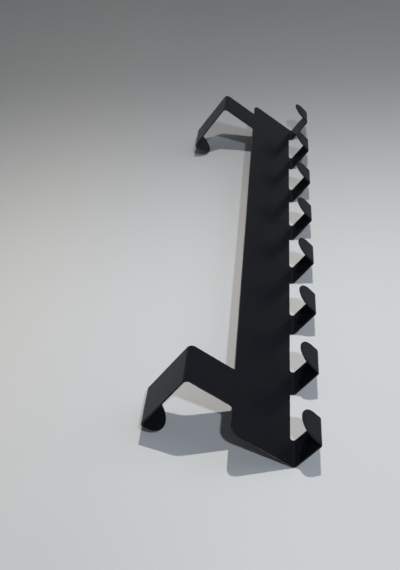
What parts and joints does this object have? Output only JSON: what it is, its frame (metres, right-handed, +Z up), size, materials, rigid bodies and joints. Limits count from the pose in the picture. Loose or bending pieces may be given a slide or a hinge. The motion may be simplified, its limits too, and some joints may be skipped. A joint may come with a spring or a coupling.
{
  "type": "over-the-door hook rack",
  "caption": "Long flat face plate with a row of upturned flat hooks along its lower edge and folded hangers that hold it over the top of a door.",
  "frame": {"origin": "on the top front edge of the door, midway along the rack: in the plane of the plate's back and of the hangers' undersides", "axes": "+X along the rack, +Y through the door to its far side, +Z up; the hooks point to -Y"},
  "size_m": [0.4, 0.0728, 0.073],
  "materials": {
    "powder_coat": "satin"
  },
  "bodies": {
    "root": {"face_plate": "powder_coat", "hook_1": "powder_coat", "hook_2": "powder_coat", "hook_3": "powder_coat", "hook_4": "powder_coat", "hook_5": "powder_coat", "hook_6": "powder_coat", "hook_7": "powder_coat", "hook_8": "powder_coat", "door_hanger_left": "powder_coat", "door_hanger_right": "powder_coat"}
  },
  "joints": []
}
